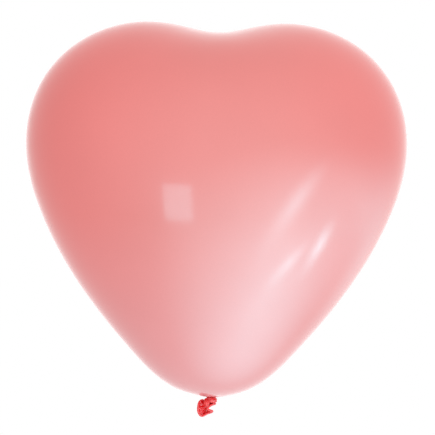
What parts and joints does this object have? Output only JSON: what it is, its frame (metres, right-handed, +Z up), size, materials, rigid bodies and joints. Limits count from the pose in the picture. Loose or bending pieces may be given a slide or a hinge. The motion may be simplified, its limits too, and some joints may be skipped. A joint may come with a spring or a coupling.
{
  "type": "heart balloon",
  "caption": "Heart-shaped latex balloon, blown up, with a knotted neck and a short crumpled tail with a rolled lip.",
  "frame": {"origin": "on the neck's axis at the bottom of the blown-up skin, where a ribbon or stick holds it", "axes": "+Z up from the knot to the lobes, +X across the two lobes, -Y towards the front"},
  "size_m": [0.305, 0.1764, 0.3156],
  "materials": {
    "stretched_latex": "glossy translucent latex, coral pink where it is stretched thin",
    "neck_latex": "semi-gloss latex, deep red where it isn't stretched"
  },
  "bodies": {
    "balloon": {"envelope": "stretched_latex", "neck_gather": "stretched_latex"},
    "neck": {"neck_stem": "neck_latex"},
    "knot": {"knot_wrap": "neck_latex", "knot_tuck": "neck_latex"},
    "tail": {"tail_skirt": "neck_latex", "rolled_lip": "neck_latex"}
  },
  "joints": [
    {"name": "neck_twist", "type": "hinge", "parent": "balloon", "child": "neck", "pos_m": [0, 0, -0.0008], "axis": [0, 0, 1], "range_deg": [-90, 90], "stiffness_Nm_per_rad": 0.0006},
    {"name": "knot_tilt", "type": "hinge", "parent": "neck", "child": "knot", "pos_m": [0, 0, -0.0035], "axis": [0, 1, 0], "range_deg": [-10, 10], "stiffness_Nm_per_rad": 0.002},
    {"name": "tail_flex", "type": "hinge", "parent": "knot", "child": "tail", "pos_m": [-0.0047, -0.0023, -0.007], "axis": [1, 0, 0], "range_deg": [-30, 5], "stiffness_Nm_per_rad": 0.001}
  ]
}
